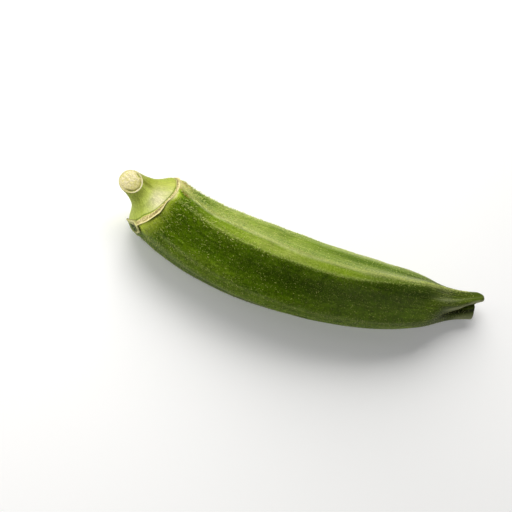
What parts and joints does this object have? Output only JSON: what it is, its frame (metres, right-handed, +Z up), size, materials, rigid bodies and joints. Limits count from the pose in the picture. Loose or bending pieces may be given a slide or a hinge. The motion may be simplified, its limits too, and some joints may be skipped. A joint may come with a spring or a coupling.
{
  "type": "okra pod",
  "caption": "Whole okra pod lying on its side: ribbed tapering body with a grooved beak, a scar ring, a pale cap and a short cut stem.",
  "frame": {"origin": "under the middle of the pod, on the surface it lies on", "axes": "+X from the scar ring toward the beak, +Z up from the surface, +Y toward the hollow side of the bend"},
  "size_m": [0.1172, 0.028, 0.021],
  "materials": {
    "pod_skin": "soft satin green skin with short pale hairs"
  },
  "bodies": {
    "root": {"okra_pod": "pod_skin"}
  },
  "joints": []
}
